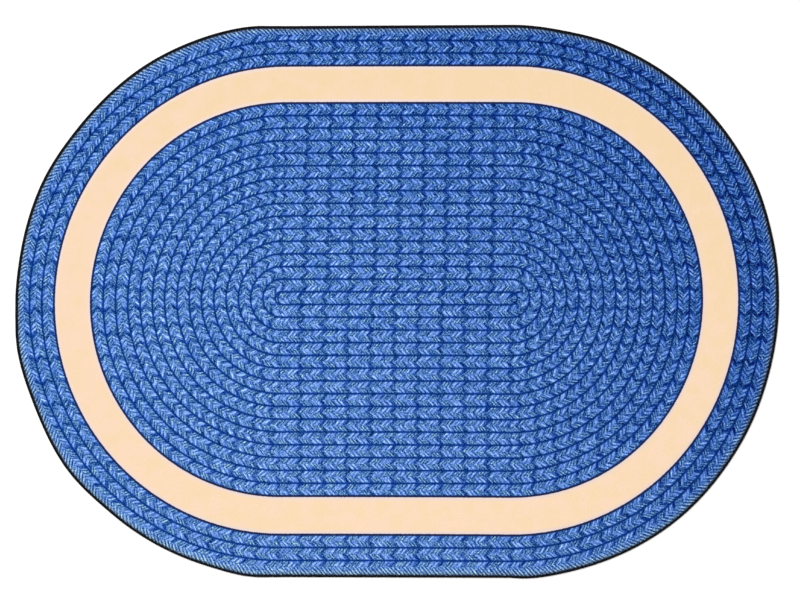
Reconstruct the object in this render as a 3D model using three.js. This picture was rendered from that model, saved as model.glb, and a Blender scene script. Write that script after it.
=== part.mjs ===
// An oval tufted rug with a printed pile and a serged edge.
// Millimetres, +Z up. The rug lies on z = 0, its long way runs along X, and the
// origin is the centre of its underside.
import * as THREE from 'three';

// Driving dimensions of the finished rug.
const LENGTH = 1612;
const WIDTH = 1168;
const THICKNESS = 8;
const STRAIGHT_SIDE = 480;      // length of each straight side between the round ends

// The overlocked yarn that wraps the cut edge, measured inwards from the outline.
const EDGE_TOP_REACH = 6.2;     // how far it covers the pile
const EDGE_FOOT_REACH = 8.8;    // how far it runs in underneath
const EDGE_HEIGHT = 6.4;
const EDGE_WALL = 1.5;
const EDGE_TOP = 1.5;
const EDGE_FOOT = 1.0;
const EDGE_ROUNDING = 1.6;

// The pile rounds down to the edge yarn over this distance.
const SHOULDER = 6;
const SEAT_GAP = 0.35;          // clearance between carpet and edge yarn

const COLUMNS = 128;            // facets round the oval

const END_REACH = (LENGTH - STRAIGHT_SIDE) / 2;
const HALF_WIDTH = WIDTH / 2;

// How far the hand-cut outline strays from the true oval: degrees anticlockwise
// from +X round each end, and millimetres outwards.
const STRAY = [
  { at: 0, out: 0 },
  { at: 12, out: 2.5 },
  { at: 27, out: 6.5 },
  { at: 45, out: 6.5 },
  { at: 66, out: 4 },
  { at: 78, out: 0 },
  { at: 88, out: 1 },
  { at: 92, out: -2 },
  { at: 99, out: 2 },
  { at: 117, out: 0 },
  { at: 141, out: -5 },
  { at: 156, out: -1 },
  { at: 171, out: -2 },
  { at: 181, out: 0 },
  { at: 190, out: 5 },
  { at: 201, out: 2 },
  { at: 216, out: 6.5 },
  { at: 229, out: 0.5 },
  { at: 252, out: -0.5 },
  { at: 261, out: 2.5 },
  { at: 268, out: -1.5 },
  { at: 276, out: 3 },
  { at: 285, out: 1.5 },
  { at: 309, out: 3.5 },
  { at: 330, out: 0.5 },
  { at: 345, out: -1 },
  { at: 360, out: 0 },
];

// The stray at any angle, eased from row to row.
function strayAt(degrees) {
  const next = STRAY.findIndex((row) => row.at >= degrees);
  const after = STRAY[Math.max(next, 1)];
  const before = STRAY[Math.max(next, 1) - 1];
  const share = (degrees - before.at) / (after.at - before.at);
  return THREE.MathUtils.lerp(before.out, after.out, THREE.MathUtils.smoothstep(share, 0, 1));
}

// The angle of each column. Half a step off the axes, so that no column lies
// where the two round ends part.
function columnAngle(column) {
  return ((column % COLUMNS) + 0.5) * (2 * Math.PI / COLUMNS);
}

// A point of the oval in plan, for a column and a distance from the middle line.
function planPoint(column, distance) {
  const angle = columnAngle(column);
  const stray = 1 + strayAt(THREE.MathUtils.radToDeg(angle)) / HALF_WIDTH;
  const along = Math.cos(angle);
  return new THREE.Vector2(
    Math.sign(along) * STRAIGHT_SIDE / 2 + along * distance * stray * END_REACH / HALF_WIDTH,
    Math.sin(angle) * distance * stray,
  );
}

// The box of the strayed outline, which sets every point back to LENGTH by WIDTH.
function outlineBox() {
  const points = Array.from({ length: COLUMNS }, (_, column) => planPoint(column, HALF_WIDTH));
  return new THREE.Box2().setFromPoints(points);
}

const OUTLINE = outlineBox();
const OUTLINE_CENTRE = OUTLINE.getCenter(new THREE.Vector2());
const OUTLINE_SIZE = OUTLINE.getSize(new THREE.Vector2());

// Turns a section, given as [distance from the middle line, height] points, round
// the oval: a lathe whose two halves are drawn apart by the straight sides.
function turnRoundOval(section) {
  const profile = section.map(([distance, height]) => new THREE.Vector2(distance, height));
  const geometry = new THREE.LatheGeometry(profile, COLUMNS);
  const position = geometry.getAttribute('position');
  for (let index = 0; index < position.count; index += 1) {
    const column = Math.floor(index / profile.length);
    const { x: distance, y: height } = profile[index % profile.length];
    const plan = planPoint(column, distance).sub(OUTLINE_CENTRE);
    position.setXYZ(index, plan.x * LENGTH / OUTLINE_SIZE.x, plan.y * WIDTH / OUTLINE_SIZE.y, height);
  }
  geometry.computeVertexNormals();
  return geometry;
}

// Half the carpet's section, from the middle of its back to the middle of its
// pile: thinned under the yarn's foot and lip, with a rounded shoulder of pile.
function carpetSection() {
  const footSeat = HALF_WIDTH - EDGE_FOOT_REACH - SEAT_GAP;
  const wall = HALF_WIDTH - EDGE_WALL - SEAT_GAP;
  const lipSeat = HALF_WIDTH - EDGE_TOP_REACH - SEAT_GAP;
  const ledge = EDGE_HEIGHT - EDGE_TOP - SEAT_GAP;
  const pileRise = THICKNESS - EDGE_HEIGHT;
  return [
    [0, 0],
    [footSeat, 0],
    [footSeat, EDGE_FOOT + SEAT_GAP],
    [wall, EDGE_FOOT + SEAT_GAP],
    [wall, ledge],
    [lipSeat, ledge],
    [lipSeat, EDGE_HEIGHT],
    [lipSeat - 0.3 * SHOULDER, EDGE_HEIGHT + 0.65 * pileRise],
    [lipSeat - SHOULDER, THICKNESS],
    [0, THICKNESS],
  ];
}

// The yarn's section: a C that opens inwards and is rounded outside.
function edgeSection() {
  const lip = HALF_WIDTH - EDGE_TOP_REACH;
  const foot = HALF_WIDTH - EDGE_FOOT_REACH;
  const wall = HALF_WIDTH - EDGE_WALL;
  const corner = HALF_WIDTH - EDGE_ROUNDING;
  return [
    [foot, 0],
    [corner, 0],
    [HALF_WIDTH, EDGE_ROUNDING],
    [HALF_WIDTH, EDGE_HEIGHT - EDGE_ROUNDING],
    [HALF_WIDTH - 0.3 * EDGE_ROUNDING, EDGE_HEIGHT - 0.3 * EDGE_ROUNDING],
    [corner, EDGE_HEIGHT],
    [lip, EDGE_HEIGHT],
    [lip, EDGE_HEIGHT - EDGE_TOP],
    [wall, EDGE_HEIGHT - EDGE_TOP],
    [wall, EDGE_FOOT],
    [foot, EDGE_FOOT],
    [foot, 0],
  ];
}

// The printed carpet: blue overall, with a dry, dull pile.
function makeCarpet() {
  const material = new THREE.MeshStandardMaterial({ color: 0x4f86cf, roughness: 0.95, metalness: 0 });
  const mesh = new THREE.Mesh(turnRoundOval(carpetSection()), material);
  mesh.name = 'carpet';
  return mesh;
}

// The serging: black yarn with a slight sheen.
function makeSergedEdge() {
  const material = new THREE.MeshStandardMaterial({ color: 0x17171b, roughness: 0.8, metalness: 0 });
  const mesh = new THREE.Mesh(turnRoundOval(edgeSection()), material);
  mesh.name = 'serged_edge';
  return mesh;
}

const rug = new THREE.Group();
rug.add(makeCarpet(), makeSergedEdge());

export default rug;
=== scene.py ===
# An oval printed rug with a serged edge, seen from straight above.
# Metres, +Z up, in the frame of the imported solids: the rug lies on z = 0, its
# long way runs along X, and the origin is the centre of its underside.
import math
from collections import namedtuple

import bmesh
import bpy
import numpy as np
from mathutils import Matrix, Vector


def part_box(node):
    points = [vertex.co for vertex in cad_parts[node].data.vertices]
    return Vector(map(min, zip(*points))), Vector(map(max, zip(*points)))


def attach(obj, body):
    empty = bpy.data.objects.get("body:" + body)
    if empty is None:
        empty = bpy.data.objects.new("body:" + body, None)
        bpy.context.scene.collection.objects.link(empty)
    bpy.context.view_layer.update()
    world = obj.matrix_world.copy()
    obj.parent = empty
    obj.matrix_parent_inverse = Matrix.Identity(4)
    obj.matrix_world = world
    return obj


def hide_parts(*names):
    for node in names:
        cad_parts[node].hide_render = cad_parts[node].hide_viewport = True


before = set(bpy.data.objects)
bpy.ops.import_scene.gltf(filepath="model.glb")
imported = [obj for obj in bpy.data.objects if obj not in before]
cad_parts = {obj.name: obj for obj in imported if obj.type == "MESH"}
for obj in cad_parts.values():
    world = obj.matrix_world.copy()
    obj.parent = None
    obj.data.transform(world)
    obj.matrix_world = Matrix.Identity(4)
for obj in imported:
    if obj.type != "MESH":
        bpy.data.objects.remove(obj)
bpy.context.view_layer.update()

MM = 0.001

# ---- Sizes of the rug, from its solids ----
_, edge_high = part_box("serged_edge")
_, carpet_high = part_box("carpet")
HALF_LENGTH = edge_high.x
HALF_WIDTH = edge_high.y
PILE_TOP = carpet_high.z
EDGE_HEIGHT = edge_high.z
HALF_STRAIGHT = 0.240           # half of each straight side
HALF_END = HALF_LENGTH - HALF_STRAIGHT

# ---- The print ----
REPEAT = 49.2 * MM              # one repeat of the braid along a straight side
RING_AT_SIDES = 26.64 * MM      # width of a ring on the straight sides
RING_AT_ENDS = 25.86 * MM       # width of a ring at the round ends
PRINT_HALF_STRAIGHT = 0.2414    # half of each straight side of the rings
PRINT_SHIFT = (-1.9 * MM, 7.3 * MM)     # how far the print lies off the rug's middle
LAST_FIELD_RING = 15            # rings of the blue field round its middle strip
FIRST_BORDER_RING = 19          # the cream band takes the rings between
LAST_RING = 21
LINE_HALF = 0.050               # half the dark line between rings, in rings
OUTLINE_HALF = 0.075            # half the dark line along the cream band, in rings
RIM = 20 * MM                   # how far in from the rug's edge its ink is greyed and darkened as painted shade
STREAKS = 16                    # streaks across the yarns of one repeat
LEAN = 0.24                     # how far strokes trail behind at a ring line, in repeats

# Round one end a ring has a whole number of repeats, nearest to its own number times
# this. The repeats of the tighter rings are shorter.
TIGHT_REPEATS = 2.2
WIDE_REPEATS = 1.64
LAST_TIGHT_RING = 12
END_SHIFT = 0.54                # shift of the middle repeat of an end, in repeats

# A value that changes softly over the rug: its level in the middle, and what is added
# for each share of the way to the right end and the upper side, and for their products.
Gradient = namedtuple("Gradient", "right up right_right right_up up_up up_up_up level",
                      defaults=[0] * 7)

# How far the print lies askew on the cloth, in millimetres along X and along Y, from a
# least-squares fit to the ring lines in the photo. Along Y, right and up_up were changed
# after it and up_up_up and level were added, to bring those lines nearer to the photo's.
SKEW_X = Gradient(right=2.5, up=7.2, right_right=1.0, right_up=-4.4, up_up=6.8)
SKEW_Y = Gradient(right=-1.0, up=2.7, right_right=-4.8, right_up=2.2, up_up=-5.9,
                  up_up_up=-0.75, level=-0.2)

# How the ink and the cream change over the rug, worked out from such fits to the colours
# of the photo and of the render. The ink's darkening and the cream's lightness are
# painted shade and painted light, for light that falls unevenly over the rug.
# Painted shade: how much darker the ink is made over the rug, in levels of green from 0 to 255.
INK_SHADE_GRADIENT = Gradient(right=16, up=14, right_right=18, right_up=4, up_up=6, level=-1)
CREAM_YELLOWNESS = Gradient(right=0.21, up=0.27, right_right=0.15, right_up=0.28, up_up=0.5,
                            level=0.25)
# Painted light and shade on the cream: lighter towards the right end, darker towards the upper side
# and a little darker overall.
CREAM_PAINTED_LIGHT = Gradient(right=0.035, up=-0.045, level=0.93)

# ---- The pile ----
TUFT = 2.6 * MM
GRID_RINGS = 104                # cells of the face's grid from the middle line to the edge
GRID_STRAIGHT = 42              # and along half of a straight side
GRID_I = GRID_RINGS + GRID_STRAIGHT

# The carpet's section from its pile's flat face down to its back: how far in from
# the outline, in millimetres, and how high.
CARPET_SECTION = (
    (14.0, 8.0),
    (11.2, 7.95),
    (9.2, 7.75),
    (7.8, 7.3),
    (7.0, 6.6),
    (6.6, 5.8),
    (6.55, 4.55),
    (1.85, 4.55),
    (1.85, 1.35),
    (9.15, 1.35),
    (9.15, 0.0),
    (18.0, 0.0),
)
FACE_LOOPS = 6                  # loops of that section that still belong to the pile

# Soft waves of the pile's face: length, height, heading and phase.
PILE_WAVES = (
    (0.61, 0.10 * MM, 0.3, 0.0),
    (0.23, 0.07 * MM, 1.4, 1.1),
    (0.117, 0.06 * MM, 2.5, 2.0),
    (0.071, 0.04 * MM, 0.9, 4.2),
)

# Rows of tufts that splay over the edge: how far in from the outline they stand, how
# high their feet are, both in millimetres, and how far they lean out.
TUFT_ROWS = (
    (8.3, 5.9, 0.45),
    (10.1, 6.4, 0.30),
    (12.0, 6.55, 0.15),
)
TUFT_SIDES = 5
TUFT_LENGTH = 1.7 * MM

# ---- The edge yarn ----
SOLID_COLUMNS = 128             # columns of the edge's solid round the oval
COLUMN_TURN = 2 * math.pi / SOLID_COLUMNS
WRAP = 2.7 * MM                 # width of one turn of yarn
WRAP_COLUMNS = 4
WRAP_RELIEF = 0.40 * MM
WRAP_SLANT = 1.1                # turns that a wrap falls back by on its way under
MAP_ROWS = 16                   # rows that the yarn's bake map is folded into

# The yarn's section, round the outside from lip to foot and back along the inside:
# how far in from the outline and how high, in millimetres, and how far it bulges.
YARN_SECTION = (
    (6.2, 4.95, 0.0),
    (6.35, 5.7, 0.5),
    (5.5, 6.3, 1.0),
    (3.5, 6.35, 1.0),
    (1.5, 6.15, 1.0),
    (0.4, 5.2, 1.0),
    (0.1, 3.4, 1.0),
    (0.4, 1.4, 1.0),
    (1.7, 0.35, 0.6),
    (5.0, 0.25, 0.5),
    (8.5, 0.3, 0.3),
    (8.7, 0.95, 0.0),
    (1.5, 1.0, 0.0),
    (1.5, 4.9, 0.0),
)
OUTER_POINTS = 11

YARN_MIDDLE = EDGE_HEIGHT / 2

# ---- The stage ----
FLOOR_HALF = 9.0
FLOOR_Z = -0.1 * MM
SKY_STRENGTH = 0.44
SOFTBOX_SIZE = 3.2
SOFTBOX_POWER = 286
SOFTBOX_PLACE = (-1.1, 1.1, 5.5)
LENS = 85
SENSOR = 36
FRAME_WIDTH = 1.6864            # what the frame takes in, at the rug
FRAME_CENTRE = (6.1 * MM, 2.1 * MM)

rng = np.random.default_rng(41)


def linear(red, green, blue):
    """The linear colour of an sRGB one, given from 0 to 255."""
    shares = np.array((red, green, blue)) / 255
    low = shares / 12.92
    high = ((shares + 0.055) / 1.055) ** 2.4
    return tuple(float(v) for v in np.where(shares <= 0.04045, low, high))


# ======================================================================
# Shader arithmetic
# ======================================================================

class Number:
    """A number in a material's node tree. Arithmetic on it adds Math nodes."""

    def __init__(self, tree, socket):
        self.tree = tree
        self.socket = socket

    def math(self, operation, *others):
        node = self.tree.nodes.new("ShaderNodeMath")
        node.operation = operation
        for slot, value in zip(node.inputs, (self, *others)):
            feed(self.tree, slot, value)
        return Number(self.tree, node.outputs[0])

    def __add__(self, other):
        return self.math("ADD", other)

    def __sub__(self, other):
        return self.math("SUBTRACT", other)

    def __mul__(self, other):
        return self.math("MULTIPLY", other)

    def __truediv__(self, other):
        return self.math("DIVIDE", other)

    def __neg__(self):
        return self.math("MULTIPLY", -1.0)

    def __abs__(self):
        return self.math("ABSOLUTE")

    __radd__ = __add__
    __rmul__ = __mul__

    def __rsub__(self, other):
        return -self + other

    def floor(self):
        return self.math("FLOOR")

    def round(self):
        return self.math("ROUND")

    def fraction(self):
        return self.math("FRACT")

    def sign(self):
        return self.math("SIGN")

    def at_least(self, other):
        return self.math("MAXIMUM", other)

    def at_most(self, other):
        return self.math("MINIMUM", other)

    def above(self, other):
        return self.math("GREATER_THAN", other)

    def below(self, other):
        return self.math("LESS_THAN", other)

    def blend(self, other, share):
        """This number where share is 0, the other where it is 1."""
        return self + (other - self) * share

    def rise(self, low, high):
        """0 up to low, 1 from high, and a smooth step between."""
        node = self.tree.nodes.new("ShaderNodeMapRange")
        node.interpolation_type = "SMOOTHSTEP"
        feed(self.tree, node.inputs["Value"], self)
        feed(self.tree, node.inputs["From Min"], low)
        feed(self.tree, node.inputs["From Max"], high)
        return Number(self.tree, node.outputs["Result"])


def feed(tree, slot, value):
    """Links a number or socket to a slot, or sets the slot to a plain value."""
    if isinstance(value, Number):
        value = value.socket
    if isinstance(value, bpy.types.NodeSocket):
        tree.links.new(value, slot)
    else:
        slot.default_value = value


def vector(tree, x, y, z):
    node = tree.nodes.new("ShaderNodeCombineXYZ")
    for slot, value in zip(node.inputs, (x, y, z)):
        feed(tree, slot, value)
    return node.outputs[0]


def noise(tree, where, scale=1.0, detail=2.0, roughness=0.5, flat=False):
    """Smooth noise about 0, mostly within half either way."""
    node = tree.nodes.new("ShaderNodeTexNoise")
    node.noise_dimensions = "2D" if flat else "3D"
    feed(tree, node.inputs["Vector"], where)
    node.inputs["Scale"].default_value = scale
    node.inputs["Detail"].default_value = detail
    node.inputs["Roughness"].default_value = roughness
    return Number(tree, node.outputs[0]) - 0.5


def mixed(tree, share, first, second, kind="MIX"):
    node = tree.nodes.new("ShaderNodeMix")
    node.data_type = "RGBA"
    node.blend_type = kind
    feed(tree, node.inputs[0], share)
    for slot, value in ((node.inputs[6], first), (node.inputs[7], second)):
        feed(tree, slot, (*value, 1.0) if isinstance(value, tuple) else value)
    return node.outputs[2]


def scaled(tree, colour, factor):
    """A colour times a number."""
    node = tree.nodes.new("ShaderNodeVectorMath")
    node.operation = "SCALE"
    feed(tree, node.inputs[0], colour)
    feed(tree, node.inputs["Scale"], factor)
    return node.outputs[0]


def ramp(tree, where, stops):
    """The colour along a list of (position, colour) stops."""
    node = tree.nodes.new("ShaderNodeValToRGB")
    elements = node.color_ramp.elements
    elements.remove(elements[1])
    for index, (at, colour) in enumerate(stops):
        element = elements.new(at) if index else elements[0]
        element.position = at
        element.color = (*colour, 1.0)
    feed(tree, node.inputs[0], where)
    return node.outputs["Color"]


def split(tree, colour):
    """A colour's three parts, as numbers."""
    node = tree.nodes.new("ShaderNodeSeparateColor")
    tree.links.new(colour, node.inputs[0])
    return [Number(tree, out) for out in node.outputs]


def new_material(name):
    """An empty node material with a Principled shader. Returns it, its tree and the shader."""
    material = bpy.data.materials.new(name)
    material.use_nodes = True
    tree = material.node_tree
    tree.nodes.clear()
    shader = tree.nodes.new("ShaderNodeBsdfPrincipled")
    output = tree.nodes.new("ShaderNodeOutputMaterial")
    tree.links.new(shader.outputs[0], output.inputs["Surface"])
    return material, tree, shader


def place(tree):
    """The point being shaded, in metres in the rug's frame, as socket and numbers."""
    texture = tree.nodes.new("ShaderNodeTexCoord")
    parts = tree.nodes.new("ShaderNodeSeparateXYZ")
    tree.links.new(texture.outputs["Object"], parts.inputs[0])
    return texture.outputs["Object"], *(Number(tree, out) for out in parts.outputs)


def bump(tree, shader, height, depth):
    """Bumps the shader's surface by a height from about 0 to 1, depth metres deep."""
    node = tree.nodes.new("ShaderNodeBump")
    node.inputs["Distance"].default_value = depth
    feed(tree, node.inputs["Height"], height)
    tree.links.new(node.outputs[0], shader.inputs["Normal"])


# ======================================================================
# The printed pile
# ======================================================================

# A strand that crosses one half of a braid: the share of a repeat that it takes, how
# many of its yarns show, how light the middle and the sides of a yarn are, as the green
# of the ink from 0 to 255, and how heathered it is with grey-green. They were set beside
# enlarged crops of the photo, and balanced to its measured mean colour and contrast. A
# gap between strands counts as one dark yarn.
Strand = namedtuple("Strand", "share yarns light dark heather")
PLAIN = Strand(0.38, 2, 172, 92, 0.0)
HEATHERED = Strand(0.40, 3, 150, 76, 1.0)
NARROW_GAP = Strand(0.06, 1, 84, 92, 0.5)
WIDE_GAP = Strand(0.16, 1, 44, 68, 0.2)
SHADED_GAP = Strand(0.16, 1, 64, 84, 1.0)

# The strands in order along a repeat: in the half of a braid towards the rug's middle,
# in the half towards its edge, where the other strand comes first, and in the outermost
# half of all, whose pale strokes are evenly spaced.
INNER_STRANDS = (PLAIN, NARROW_GAP, HEATHERED, WIDE_GAP)
OUTER_STRANDS = (HEATHERED, NARROW_GAP, PLAIN, SHADED_GAP)
EDGE_STRANDS = (Strand(1.0, 6, 182, 58, 0.5),)

# Where the first of them begins, in repeats, which puts the last, the widest gap, at
# its measured place in the photo.
INNER_START = 0.30
OUTER_START = 0.24

# The blue ink from its darkest to its lightest, as in the photo: tone, colour.
INKS = (
    (0, (0, 0, 70)),
    (60, (6, 60, 144)),
    (110, (66, 110, 188)),
    (160, (118, 160, 234)),
    (255, (218, 255, 255)),
)
HEATHER_TINT = (0.90, 0.96, 0.80)       # what the ink's colour is multiplied by in heather

# The greyer ink beside the rug's edge, with painted shade, from its darkest to its lightest.
RIM_INKS_AND_SHADE = (
    (0, (16, 12, 20)),
    (100, (82, 100, 118)),
    (255, (215, 255, 255)),
)

PALE_CREAM = (251, 219, 190)
YELLOW_CREAM = (247, 218, 177)
CREAM_MARGIN = (228, 213, 214)  # along the band's outlines, on their cream side
OUTLINE_INK = (30, 38, 80)
PRINT_PAINTED_SHADE = 0.91         # painted shade over the whole print, against light raised until the floor turns white

# How deep the ink's unevenness goes, as shares of its range of tones.
STREAK_DEPTH = 0.48             # streaks along the yarns
FLECK_DEPTH = 0.41              # flecks where the print fell on single tufts
HEATHER_FLECKS = 0.20           # how much deeper those are in a heathered strand
PATCH_DEPTH = 0.12              # soft patches
FLECK = 3.2 * MM

Spot = namedtuple("Spot", "ring across along from_middle inner tight at_edge stretch key")


def over_rug(gradient, right, up):
    """What a gradient comes to at a place, given as shares of the way right and up."""
    value = gradient.level
    for factor, *shares in (
        (gradient.right, right),
        (gradient.up, up),
        (gradient.right_right, right, right),
        (gradient.right_up, right, up),
        (gradient.up_up, up, up),
        (gradient.up_up_up, up, up, up),
    ):
        if factor:
            value = math.prod(shares, start=factor) + value
    return value


def print_point(x, y):
    """The point of the print, as it was drawn, that lies at x, y. On the cloth the print
    is a little skewed and stretched, by some millimetres at the ends and sides."""
    x = x - PRINT_SHIFT[0]
    y = y - PRINT_SHIFT[1]
    right = x / HALF_LENGTH
    up = y / HALF_WIDTH
    return x - over_rug(SKEW_X, right, up) * MM, y - over_rug(SKEW_Y, right, up) * MM


def braid_spot(x, y):
    """Where in the rings of braid a point of the print lies."""
    past_straight = (abs(x) - PRINT_HALF_STRAIGHT).at_least(0.0)
    over = past_straight / RING_AT_ENDS
    side = y / RING_AT_SIDES
    distance = (over * over + side * side).math("SQRT")
    ring = (distance + 0.5).floor().at_most(LAST_RING)
    core = ring.below(0.5)
    at_end = over.above(0.0) * (1.0 - core)
    across = (distance + 0.5 - ring).blend(0.5 - y.sign() * distance, core)

    # Along a ring, clockwise, in repeats.
    is_tight = ring.below(LAST_TIGHT_RING + 0.5)
    rate = is_tight * (TIGHT_REPEATS - WIDE_REPEATS) + WIDE_REPEATS
    end_repeats = (ring * rate).round().at_least(1.0)
    turn = over.math("ARCTAN2", x.sign() * side) / math.pi
    round_end = end_repeats * (turn - 0.5) + END_SHIFT
    along = (y.sign().blend(-1.0, core) * x / REPEAT).blend(round_end, at_end)
    natural = ring * (math.pi * (RING_AT_ENDS + RING_AT_SIDES) / 2 / REPEAT)
    stretch = (natural / end_repeats - 1.0) * at_end + 1.0

    # Every third ring is printed with its halves exchanged.
    third_before = ((ring + 1) / 3).fraction().below(0.1)
    half = (across - 0.5).blend(0.5 - across, third_before)
    tight = is_tight * at_end
    inner = half.below(0.0)
    at_edge = distance.above(LAST_RING)
    key = ring * 7.31 + inner * 3.7 + x.sign() * 31.3 + y.sign() * 57.9
    from_middle = (abs(half) * 2).at_most(1.3)
    return Spot(ring, across, along, from_middle, inner, tight, at_edge, stretch, key)


def braid_half(tree, at, strands, fewer=0):
    """How light and how heathered one half of a braid is at a place along it, with
    fewer yarns shown in a strand where the braid is tight."""
    stops = []
    start = 0.0
    for share, yarns, light, dark, heather in strands:
        shown = max(1, yarns - fewer)
        width = share / shown
        for yarn in range(shown):
            stops.append((start + width * yarn, (dark / 255, heather, 0.0)))
            stops.append((start + width * (yarn + 0.5), (light / 255, heather, 0.0)))
        start += share
    stops.append((1.0, stops[0][1]))
    tone, heather, _ = split(tree, ramp(tree, at.fraction(), stops))
    return tone, heather


def braid_tone(tree, spot, where):
    """How light the braid is at a spot, from 0 to 1, and how heathered."""
    wobble = noise(tree, where, 1 / (30 * MM), 2.0)
    at = spot.along + spot.from_middle * LEAN / spot.stretch + wobble * 0.10
    inner_at = at - INNER_START
    outer_at = at - OUTER_START

    def both(fewer):
        halves = zip(braid_half(tree, outer_at, OUTER_STRANDS, fewer),
                     braid_half(tree, inner_at, INNER_STRANDS, fewer))
        return [outer.blend(inner, spot.inner) for outer, inner in halves]

    edge = braid_half(tree, outer_at, EDGE_STRANDS)
    tone, heather = (loose.blend(tight, spot.tight).blend(rim, spot.at_edge)
                     for loose, tight, rim in zip(both(0), both(1), edge))

    # The strokes fade a little towards the middle of the braid.
    tone = tone.blend(0.45, (1.0 - spot.from_middle.rise(0.0, 0.7)) * 0.25)

    # It is darker towards the ring lines.
    near_line = spot.from_middle.rise(0.62, 1.0) * (1.0 - spot.at_edge)
    tone = tone.blend(0.22, near_line * 0.6)

    # Each yarn is streaked along its length and speckled by the tufts that the print
    # fell on.
    across_yarns = at * spot.stretch * STREAKS + spot.key * 7
    along_yarns = spot.from_middle * 1.3 + spot.key * 3
    strand = vector(tree, across_yarns, along_yarns, 0.0)
    streak = noise(tree, strand, 1.0, 0.0, flat=True)
    fleck = noise(tree, where, 1 / FLECK, 0.0, flat=True)
    patch = noise(tree, where, 1 / (26 * MM), 2.0)
    tone = tone + streak * STREAK_DEPTH + fleck * (heather * HEATHER_FLECKS + FLECK_DEPTH)
    return tone + patch * PATCH_DEPTH, heather


def ink(tree, tone, inks):
    """The colour of an ink at a tone."""
    return ramp(tree, tone, [(level / 255, linear(*colour)) for level, colour in inks])


def near_edge(tree):
    """How near the rug's edge the point being shaded is: 1 at it, and 0 from RIM in."""
    node = tree.nodes.new("ShaderNodeAttribute")
    node.attribute_name = "near_edge"
    return Number(tree, node.outputs["Fac"])


def printed_colour(tree, where, x, y):
    """The whole print: blue field, cream band and blue border, with their lines."""
    x, y = print_point(x, y)
    spot = braid_spot(x, y)
    tone, heather = braid_tone(tree, spot, where)

    # Painted shade of uneven light: the ink is darker towards the right end and the upper side.
    right = x / HALF_LENGTH
    up = y / HALF_WIDTH
    painted_shade = over_rug(INK_SHADE_GRADIENT, right, up)
    tone = tone - painted_shade / 255

    # Dark lines between rings, ragged by a tuft.
    ragged = noise(tree, where, 1 / (4 * MM), 2.0)
    uneven = noise(tree, where, 1 / (9 * MM), 2.0)
    to_inner = abs(spot.across + ragged * 0.06)
    to_outer = abs(1.0 - spot.across - ragged * 0.06) + spot.ring.above(LAST_RING - 0.5) * 9.0
    line = 1.0 - to_inner.at_most(to_outer).rise(LINE_HALF * 0.5, LINE_HALF * 2.0)
    # The lines take the same painted shade.
    tone = tone.blend(0.14 - painted_shade / 510 + uneven * 0.4, line * (0.86 + uneven * 0.5))

    # Painted shade beside the rug's edge, where the pile rolls down to the edge yarn: the ink
    # is darker there, and greyer than elsewhere.
    near = near_edge(tree)
    tone = tone.blend(0.12, near.rise(0.5, 0.7) * 0.45)
    blue = mixed(tree, heather, ink(tree, tone, INKS), HEATHER_TINT, "MULTIPLY")

    # The ink turns a touch to violet in soft patches, and more towards one end.
    violet = noise(tree, where, 1 / (24 * MM), 2.0) * 1.3 + right * 0.3 + 0.35
    blue = mixed(tree, violet, blue, (0.003, 0.0, 0.0005), "ADD")
    # Greyer ink and more painted shade nearer the edge yarn.
    blue = mixed(tree, (near * 1.5 - 0.26).at_most(0.75), blue, ink(tree, tone, RIM_INKS_AND_SHADE))

    # The cream is yellower towards one corner.
    mottle = noise(tree, where, 1 / (30 * MM), 2.0) * 2.4 + over_rug(CREAM_YELLOWNESS, right, up)
    cream = mixed(tree, mottle, linear(*PALE_CREAM), linear(*YELLOW_CREAM))
    # Painted light and shade: the cream is lighter towards the right end and darker towards the
    # upper side.
    grain = noise(tree, where, 1 / (2.4 * MM), 2.0) * 0.03
    cream = scaled(tree, cream, grain + over_rug(CREAM_PAINTED_LIGHT, right, up))

    # The band's dark outlines, with a pale margin inside them.
    distance = spot.ring + spot.across - 0.5 + ragged * 0.07
    to_field = abs(distance - (LAST_FIELD_RING + 0.5))
    to_border = abs(distance - (FIRST_BORDER_RING - 0.5))
    to_outline = to_field.at_most(to_border)
    margin = 1.0 - to_outline.rise(OUTLINE_HALF * 2.1, OUTLINE_HALF * 5.4)
    cream = mixed(tree, margin * 0.8, cream, linear(*CREAM_MARGIN))
    band = spot.ring.above(LAST_FIELD_RING + 0.5) * spot.ring.below(FIRST_BORDER_RING - 0.5)
    colour = mixed(tree, band, blue, cream)
    outline = 1.0 - to_outline.rise(OUTLINE_HALF * 0.8, OUTLINE_HALF * 1.5)
    # The whole print is darkened as painted shade, to offset the strong light.
    return scaled(tree, mixed(tree, outline, colour, linear(*OUTLINE_INK)), PRINT_PAINTED_SHADE)


def tuft_relief(tree, where):
    """The pile's cut ends: round grains a tuft across, over softer unevenness."""
    cells = tree.nodes.new("ShaderNodeTexVoronoi")
    cells.feature = "SMOOTH_F1"
    feed(tree, cells.inputs["Vector"], where)
    cells.inputs["Scale"].default_value = 1 / TUFT
    cells.inputs["Smoothness"].default_value = 0.6
    fibres = noise(tree, where, 1 / (0.7 * MM), 3.0, 0.7)
    grain = 1.0 - Number(tree, cells.outputs["Distance"]) + fibres * 0.5
    return grain + noise(tree, where, 1 / (14 * MM), 2.0) * 1.2


def printed_pile():
    material, tree, shader = new_material("printed_pile")
    where, x, y, _ = place(tree)
    feed(tree, shader.inputs["Base Color"], printed_colour(tree, where, x, y))
    shader.inputs["Roughness"].default_value = 0.95
    shader.inputs["Specular IOR Level"].default_value = 0.03
    bump(tree, shader, tuft_relief(tree, where), 0.5 * MM)
    return material


BACK_DARK = (150, 140, 122)
BACK_PALE = (196, 187, 168)
YARN_BLACK = (2, 4, 8)
YARN_LIFT = (14, 18, 28)


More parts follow.
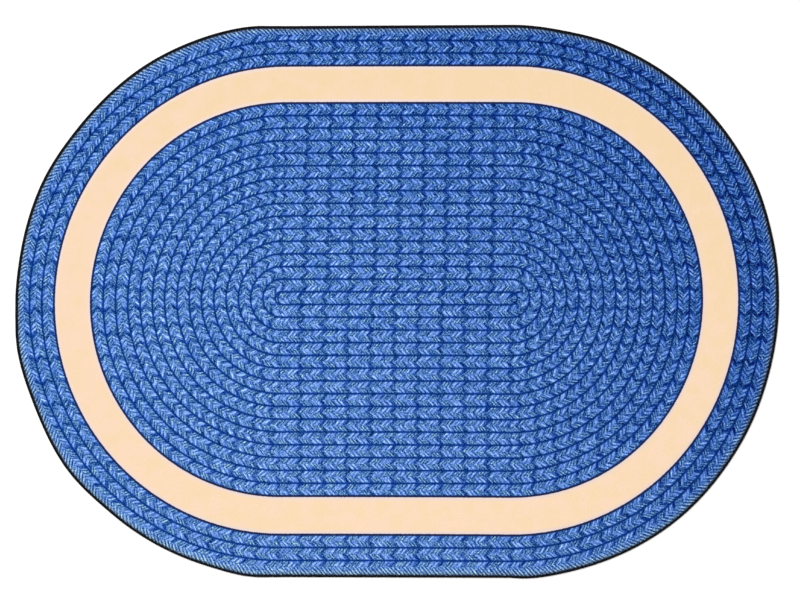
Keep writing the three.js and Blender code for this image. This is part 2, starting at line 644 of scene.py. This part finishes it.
def woven_back():
    """The back, which lies on the floor: a plain pale woven cloth."""
    material, tree, shader = new_material("woven_back")
    where, x, y, _ = place(tree)
    warp = (x * (2 * math.pi / (2.1 * MM))).math("SINE")
    weft = (y * (2 * math.pi / (2.5 * MM))).math("SINE")
    over = warp * weft
    shade = noise(tree, where, 1 / (25 * MM), 4.0) * 0.3 + over * 0.1 + 0.5
    feed(tree, shader.inputs["Base Color"],
         mixed(tree, shade, linear(*BACK_DARK), linear(*BACK_PALE)))
    shader.inputs["Roughness"].default_value = 0.9
    shader.inputs["Specular IOR Level"].default_value = 0.2
    bump(tree, shader, over * 0.5 + 0.5, 0.3 * MM)
    return material


def edge_yarn():
    """Black spun yarn: near black, with a faint lift on its fibres."""
    material, tree, shader = new_material("edge_yarn")
    where, *_ = place(tree)
    fuzz = noise(tree, where, 1 / (1.1 * MM), 3.0, 0.7)
    worn = noise(tree, where, 1 / (35 * MM), 2.0)
    share = fuzz * 1.2 + worn * 0.5 + 0.4
    feed(tree, shader.inputs["Base Color"],
         mixed(tree, share, linear(*YARN_BLACK), linear(*YARN_LIFT)))
    shader.inputs["Roughness"].default_value = 0.85
    shader.inputs["Specular IOR Level"].default_value = 0.12
    bump(tree, shader, fuzz + 0.5, 0.25 * MM)
    return material


def floor_material():
    material, tree, shader = new_material("pale_floor")
    where, *_ = place(tree)
    shade = noise(tree, where, 3.0, 2.0) + 0.5
    feed(tree, shader.inputs["Base Color"],
         mixed(tree, shade, (0.97, 0.96, 0.955), (0.98, 0.97, 0.965)))
    shader.inputs["Roughness"].default_value = 0.9
    shader.inputs["Specular IOR Level"].default_value = 0.1
    return material


# ======================================================================
# Shapes
# ======================================================================

def outline_reach(angles):
    """How far the outline reaches at angles round the ends, as a share of the even
    oval. It is read from the columns of the edge's solid and eased between them."""
    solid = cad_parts["serged_edge"].data
    points = np.array([v.co for v in solid.vertices])
    u = (np.abs(points[:, 0]) - HALF_STRAIGHT) / HALF_END * np.sign(points[:, 0])
    v = points[:, 1] / HALF_WIDTH
    column = (np.arctan2(v, u) % (2 * math.pi) / COLUMN_TURN).astype(int)
    farthest = np.zeros(SOLID_COLUMNS)
    np.maximum.at(farthest, column, np.hypot(u, v))
    middles = (np.arange(-1, SOLID_COLUMNS + 1) + 0.5) * COLUMN_TURN
    around = np.concatenate([farthest[-1:], farthest, farthest[:1]])
    return np.interp(angles % (2 * math.pi), middles, around)


def oval_points(base_x, angles, share, inset):
    """Points in plan, as x and y: from base_x on the middle line towards the outline,
    at an angle round the end, a share of the way and then inset metres back."""
    shift = np.sin(angles) * base_x / HALF_STRAIGHT * COLUMN_TURN / 2
    reach = outline_reach(angles - shift) * share
    x = base_x + np.cos(angles) * (HALF_END * reach - inset)
    y = np.sin(angles) * (HALF_WIDTH * reach - inset)
    return x, y


def stations(count):
    """Evenly spaced places round the oval, as base_x and angle, anticlockwise from
    the right end's lowest point."""
    turn = np.linspace(-math.pi / 2, math.pi / 2, 721)
    side = np.linspace(1, -1, 241)[1:-1] * HALF_STRAIGHT
    right, left = np.full(turn.shape, HALF_STRAIGHT), np.full(turn.shape, -HALF_STRAIGHT)
    up, down = np.full(side.shape, math.pi / 2), np.full(side.shape, 1.5 * math.pi)
    base_x = np.concatenate([right, side, left, -side, right[:1]])
    angle = np.concatenate([turn, up, turn + math.pi, down, turn[:1] + 2 * math.pi])
    x, y = oval_points(base_x, angle, 1.0, 0.0)
    length = np.concatenate([[0.0], np.cumsum(np.hypot(np.diff(x), np.diff(y)))])
    at = np.arange(count) / count * length[-1]
    return np.interp(at, length, base_x), np.interp(at, length, angle), length[-1]


def finish_piece(name, points, faces, materials, material_of_face=None, inset=None):
    """An object of a closed mesh, smooth, with its faces turned outwards. For a printed
    one, inset says how far in from the rug's edge each point is."""
    mesh = bpy.data.meshes.new(name)
    mesh.from_pydata(np.asarray(points).tolist(), [], faces)
    for material in materials:
        mesh.materials.append(material)
    if material_of_face is not None:
        mesh.polygons.foreach_set("material_index", material_of_face)
    if inset is not None:
        layer = mesh.attributes.new("near_edge", "FLOAT", "POINT")
        layer.data.foreach_set("value", np.clip(1 - inset / RIM, 0, 1))
    mesh.polygons.foreach_set("use_smooth", [True] * len(mesh.polygons))
    work = bmesh.new()
    work.from_mesh(mesh)
    bmesh.ops.recalc_face_normals(work, faces=work.faces)
    work.to_mesh(mesh)
    work.free()
    piece = bpy.data.objects.new(name, mesh)
    bpy.context.scene.collection.objects.link(piece)
    return piece


def corner_places(mesh):
    """The place of each face corner, and the vertex it is on."""
    vertex = np.zeros(len(mesh.loops), int)
    mesh.loops.foreach_get("vertex_index", vertex)
    points = np.zeros(len(mesh.vertices) * 3)
    mesh.vertices.foreach_get("co", points)
    return points.reshape(-1, 3)[vertex], vertex


def set_bake_map(mesh, u, v):
    """Names where each face corner lies on the bake map, OFBake."""
    layer = mesh.uv_layers.new(name="OFBake")
    layer.uv.foreach_set("vector", np.stack([u, v], 1).astype(np.float32).ravel())


def plan_share(places):
    """Places in plan as shares of the rug's box."""
    return (places[:, 0] / HALF_LENGTH + 1) / 2, (places[:, 1] / HALF_WIDTH + 1) / 2


def unevenness(x, y):
    """Soft highs and lows of the pile, about a quarter of a millimetre either way."""
    waves = 0
    for wave_length, height, heading, phase in PILE_WAVES:
        turned = x * math.cos(heading) + y * math.sin(heading)
        waves = waves + height * np.sin(turned * 2 * math.pi / wave_length + phase)
    return waves


def grid_nodes(step):
    """The nodes of the oval's grid, whose two ends are squares bent into half discs:
    for each one its base_x, its angle and its ring's share of the way out."""
    steps_along = np.arange(-GRID_I, GRID_I + 1, step)
    steps_up = np.arange(-GRID_RINGS, GRID_RINGS + 1, step)
    i, j = np.meshgrid(steps_along, steps_up, indexing="ij")
    over = np.maximum(np.abs(i) - GRID_STRAIGHT, 0)
    up = np.abs(j)
    ring = np.maximum(over, up)
    lower = math.pi / 4 * up / np.maximum(over, 1)
    upper = math.pi / 2 - math.pi / 4 * over / np.maximum(up, 1)
    angle = np.where(up <= over, lower, upper) * np.where(j < 0, -1, 1)
    angle = np.where(i < 0, math.pi - angle, angle)
    angle = np.where(over == 0, np.where(j < 0, -math.pi / 2, math.pi / 2), angle)
    base_x = np.clip(i, -GRID_STRAIGHT, GRID_STRAIGHT) / GRID_STRAIGHT * HALF_STRAIGHT
    return base_x, angle, ring / GRID_RINGS


def grid_faces(numbers):
    """Quads between the nodes of a grid of vertex numbers."""
    corners = [numbers[:-1, :-1], numbers[1:, :-1], numbers[1:, 1:], numbers[:-1, 1:]]
    return np.stack([c.ravel() for c in corners], 1).tolist()


def border(grid):
    """A grid's outer nodes, in order round it."""
    return np.concatenate([grid[-1, :-1], grid[:0:-1, -1], grid[0, :0:-1], grid[:-1, 0]])


def carpet_piece(pile, back):
    """The carpet as one closed mesh: the pile's face on a fine grid, its rounded
    shoulder, the thinned edge under the yarn, and the back on a grid half as fine."""
    face_inset, face_height = CARPET_SECTION[0]
    base_x, angle, share = grid_nodes(1)
    x, y = oval_points(base_x, angle, share, share * face_inset * MM)
    fade = np.clip((1 - share) * 12, 0, 1)
    z = face_height * MM + unevenness(x, y) * fade
    points = [np.stack([x.ravel(), y.ravel(), z.ravel()], 1)]
    insets = [face_inset * MM + (1 - share.ravel()) * HALF_WIDTH]
    grid = np.arange(x.size).reshape(x.shape)
    faces = grid_faces(grid)

    # The loops of the section, from the face's border to the back.
    loop = border(grid)
    loop_x, loop_angle = base_x.ravel()[loop], angle.ravel()[loop]
    count = x.size
    for inset, height in CARPET_SECTION[1:-1]:
        x, y = oval_points(loop_x, loop_angle, 1.0, inset * MM)
        points.append(np.stack([x, y, np.full(len(x), height * MM)], 1))
        insets.append(np.full(len(x), inset * MM))
        below = count + np.arange(len(loop))
        faces += band_faces(loop, below)
        loop = below
        count += len(below)
    pile_faces = grid.shape[0] - 1, grid.shape[1] - 1
    last_pile_face = pile_faces[0] * pile_faces[1] + FACE_LOOPS * len(loop)

    # The back.
    back_inset, back_height = CARPET_SECTION[-1]
    base_x, angle, share = grid_nodes(2)
    x, y = oval_points(base_x, angle, share, share * back_inset * MM)
    points.append(np.stack([x.ravel(), y.ravel(), np.full(x.size, back_height * MM)], 1))
    insets.append(np.full(x.size, back_inset * MM))
    coarse = count + np.arange(x.size).reshape(x.shape)
    faces += grid_faces(coarse)
    faces += halving_faces(loop, border(coarse))

    kinds = (np.arange(len(faces)) >= last_pile_face).astype(int)
    piece = finish_piece("rug", np.concatenate(points), faces, [pile, back], kinds,
                         inset=np.concatenate(insets))

    # The pile fills the bake map, and the back lies squeezed along its foot.
    mesh = piece.data
    places, _ = corner_places(mesh)
    u, v = plan_share(places)
    kind = np.zeros(len(mesh.polygons), int)
    mesh.polygons.foreach_get("material_index", kind)
    size = np.zeros(len(mesh.polygons), int)
    mesh.polygons.foreach_get("loop_total", size)
    is_back = np.repeat(kind, size) == 1
    set_bake_map(mesh, 0.003 + 0.994 * u, np.where(is_back, 0.004 + 0.09 * v, 0.1 + 0.896 * v))
    return piece


def band_faces(above, below):
    """Quads between two closed loops of as many vertices."""
    return np.stack([above, np.roll(above, -1), np.roll(below, -1), below], 1).tolist()


def halving_faces(fine, coarse):
    """Triangles between a closed loop and one with half as many vertices."""
    first, middle, last = fine[::2], fine[1::2], np.roll(fine[::2], -1)
    following = np.roll(coarse, -1)
    sets = ((first, middle, coarse), (middle, following, coarse), (middle, last, following))
    return np.concatenate([np.stack(each, 1) for each in sets]).tolist()


def yarn_piece(yarn):
    """The serging as one closed mesh: turns of yarn, side by side, whose ridges run
    from the lip on the pile over the edge and slanting back to the foot."""
    _, _, length = stations(8)
    wraps = round(length / WRAP)
    count = wraps * WRAP_COLUMNS
    base_x, angle, _ = stations(count)
    wrap = np.arange(count) / WRAP_COLUMNS
    reach_jitter = rng.normal(0, 0.35 * MM, wraps)
    swell_jitter = rng.normal(1, 0.16, wraps)

    rings = []
    for row, (inset, height, bulge) in enumerate(YARN_SECTION):
        outer = row < OUTER_POINTS
        phase = wrap + (WRAP_SLANT * row / OUTER_POINTS if outer else 0.0)
        mine = np.floor(phase).astype(int) % wraps
        ridge = np.abs(np.sin(phase * math.pi)) ** 0.7
        swell = (ridge * swell_jitter[mine] - 0.75) * WRAP_RELIEF * bulge
        back = reach_jitter[mine] if row in (1, 2) else 0.0
        level = (height * MM - YARN_MIDDLE) / YARN_MIDDLE
        x, y = oval_points(base_x, angle, 1.0, inset * MM - swell * max(0.0, 1 - abs(level)) + back)
        z = height * MM + swell * np.clip(level * 1.3, -1, 1)
        rings.append(np.stack([x, y, np.maximum(z, 0.05 * MM)], 1))
    points = np.concatenate(rings)
    numbers = np.arange(len(points)).reshape(len(YARN_SECTION), count)
    faces = [face for row in range(len(numbers))
             for face in band_faces(numbers[row], numbers[(row + 1) % len(numbers)])]
    piece = finish_piece("serging", points, faces, [yarn])
    fold_bake_map(piece.data, count)
    return piece


def fold_bake_map(mesh, count):
    """Lays the serging's mesh out in rows of equal length, one above the other."""
    _, vertex = corner_places(mesh)
    column = (vertex % count).reshape(-1, 4)
    row = (vertex // count).reshape(-1, 4)
    column = np.where(column.max(1, keepdims=True) - column > count / 2, column + count, column)
    last = len(YARN_SECTION)
    row = np.where((row.max(1, keepdims=True) == last - 1) & (row == 0), last, row)
    each = count / MAP_ROWS
    line = np.floor(column.min(1, keepdims=True) / each)
    u = (column - line * each) / (each + 1)
    v = (line + 0.06 + 0.88 * row / last) / MAP_ROWS
    set_bake_map(mesh, 0.002 + 0.996 * u.ravel(), v.ravel())


def tuft_piece(pile):
    """The outermost tufts, which splay over the edge yarn: short rough stubs."""
    all_points = []
    all_insets = []
    all_faces = []
    start = 0
    around = np.arange(TUFT_SIDES) / TUFT_SIDES * 2 * math.pi
    for inset, foot, lean in TUFT_ROWS:
        _, _, length = stations(8)
        count = round(length / TUFT)
        base_x, angle, _ = stations(count)

        # They stand farther in along the upper side, as measured in the photo.
        uneven = np.sin(angle) * 1.1 - np.cos(angle) * 0.3 + 0.2
        inset_of = (inset + uneven + rng.normal(0, 0.35, count)) * MM
        x, y = oval_points(base_x, angle, 1.0, inset_of)
        out = np.stack([np.cos(angle), np.sin(angle)], 1)
        side = np.stack([-out[:, 1], out[:, 0]], 1)
        tall = TUFT_LENGTH * rng.normal(1, 0.12, count)
        outward = (lean + rng.normal(0, 0.18, count)) * tall
        sideways = rng.normal(0, 0.25, count) * tall
        tip = out * outward[:, None] + side * sideways[:, None]
        width = TUFT * 0.5 * rng.normal(1, 0.1, count)
        for level, girth in ((0.0, 1.0), (0.75, 1.0), (1.0, 0.55)):
            ring_x = x[:, None] + tip[:, :1] * level + width[:, None] * girth * np.cos(around)
            ring_y = y[:, None] + tip[:, 1:] * level + width[:, None] * girth * np.sin(around)
            ring_z = np.repeat((foot * MM + tall * level)[:, None], TUFT_SIDES, 1)
            all_points.append(np.stack([ring_x, ring_y, ring_z], 2).reshape(-1, 3))
            all_insets.append(np.repeat(inset_of, TUFT_SIDES))
        numbers = start + np.arange(3 * count * TUFT_SIDES).reshape(3, count, TUFT_SIDES)
        for lower, upper in ((0, 1), (1, 2)):
            a, b = numbers[lower], numbers[upper]
            quads = np.stack([a, np.roll(a, -1, 1), np.roll(b, -1, 1), b], 2)
            all_faces += quads.reshape(-1, 4).tolist()
        all_faces += numbers[2].tolist()
        all_faces += numbers[0][:, ::-1].tolist()
        start += numbers.size
    piece = finish_piece("edge_tufts", np.concatenate(all_points), all_faces, [pile],
                         inset=np.concatenate(all_insets))
    places, _ = corner_places(piece.data)
    u, v = plan_share(places)
    set_bake_map(piece.data, 0.003 + 0.994 * u, 0.003 + 0.994 * v)
    return piece


# ======================================================================
# Stage
# ======================================================================

def make_floor(material):
    mesh = bpy.data.meshes.new("floor")
    corners = [(-FLOOR_HALF, -FLOOR_HALF, FLOOR_Z), (FLOOR_HALF, -FLOOR_HALF, FLOOR_Z),
               (FLOOR_HALF, FLOOR_HALF, FLOOR_Z), (-FLOOR_HALF, FLOOR_HALF, FLOOR_Z)]
    mesh.from_pydata(corners, [], [(0, 1, 2, 3)])
    mesh.materials.append(material)
    floor = bpy.data.objects.new("floor", mesh)
    bpy.context.scene.collection.objects.link(floor)
    return floor


def make_light():
    """Even light from all round, and a large soft lamp high on one side."""
    world = bpy.data.worlds.new("studio")
    world.use_nodes = True
    background = world.node_tree.nodes["Background"]
    background.inputs["Color"].default_value = (1.0, 1.0, 1.0, 1.0)
    background.inputs["Strength"].default_value = SKY_STRENGTH
    bpy.context.scene.world = world
    lamp = bpy.data.lights.new("softbox", "AREA")
    lamp.shape = "DISK"
    lamp.size = SOFTBOX_SIZE
    lamp.energy = SOFTBOX_POWER
    softbox = bpy.data.objects.new("softbox", lamp)
    softbox.location = SOFTBOX_PLACE
    softbox.rotation_euler = Vector(SOFTBOX_PLACE).to_track_quat("Z", "Y").to_euler()
    softbox.visible_camera = False
    bpy.context.scene.collection.objects.link(softbox)


def make_camera():
    """Straight above, far enough for a long lens, with the rug a little above the
    frame's middle."""
    camera = bpy.data.cameras.new("camera")
    camera.lens = LENS
    camera.sensor_width = SENSOR
    distance = FRAME_WIDTH * LENS / SENSOR
    camera.clip_end = 10 * distance
    eye = bpy.data.objects.new("camera", camera)
    eye.location = (FRAME_CENTRE[0], FRAME_CENTRE[1], PILE_TOP + distance)
    bpy.context.scene.collection.objects.link(eye)
    bpy.context.scene.camera = eye
    bpy.context.scene.view_settings.view_transform = "Standard"


pile = printed_pile()
rug = carpet_piece(pile, woven_back())
serging = yarn_piece(edge_yarn())
tufts = tuft_piece(pile)
for piece, slot in ((rug, "printed_pile"), (serging, "edge_yarn"), (tufts, "printed_pile")):
    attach(piece, "root")
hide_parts("carpet")
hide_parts("carpet")
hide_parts("serged_edge")

floor = make_floor(floor_material())
make_light()
make_camera()
